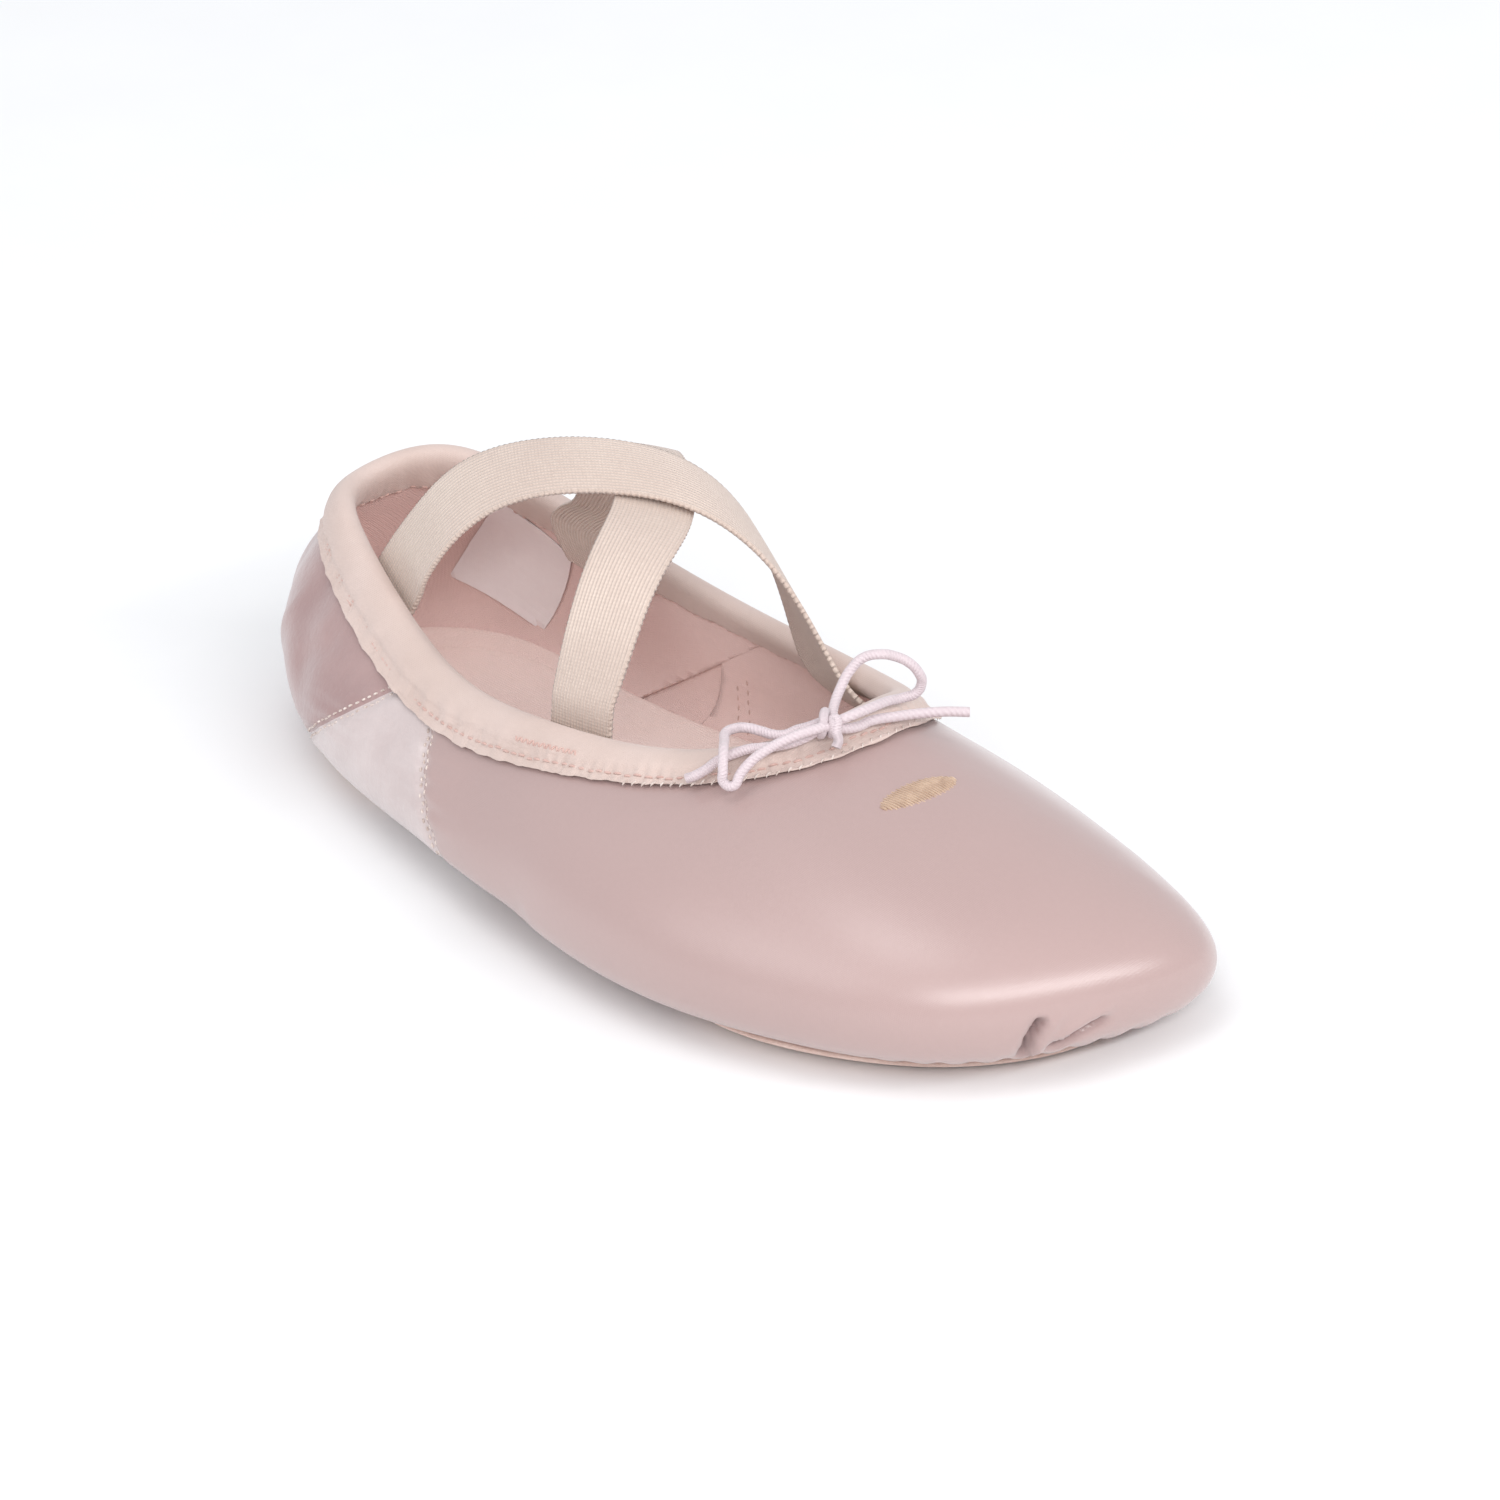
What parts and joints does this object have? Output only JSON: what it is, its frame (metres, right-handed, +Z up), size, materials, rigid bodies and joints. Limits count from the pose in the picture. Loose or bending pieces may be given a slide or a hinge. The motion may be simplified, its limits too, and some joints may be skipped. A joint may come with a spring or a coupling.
{
  "type": "ballet slipper",
  "caption": "Soft satin ballet slipper for the right foot, with a split suede sole, stitched collar casing, crossed elastic straps and a drawstring bow.",
  "frame": {"origin": "centre of the box's base, on the floor that the slipper stands on", "axes": "+X from the heel to the toe, +Y to the inner (big toe) side, +Z up"},
  "size_m": [0.234, 0.095, 0.0769],
  "materials": {
    "satin": "satin",
    "cotton_binding": "matt woven",
    "suede": "suede",
    "sock_lining": "matt woven",
    "elastic": "ribbed elastic",
    "drawstring": "braided cord"
  },
  "bodies": {
    "root": {"upper": "satin", "collar_binding": "cotton_binding", "forefoot_sole": "suede", "heel_sole": "suede", "insole": "sock_lining", "heel_pad": "sock_lining", "strap_over": "elastic", "strap_under": "elastic", "bow_knot": "drawstring", "bow_loop_left": "drawstring", "bow_loop_right": "drawstring", "bow_end_left": "drawstring", "bow_end_right": "drawstring"}
  },
  "joints": []
}
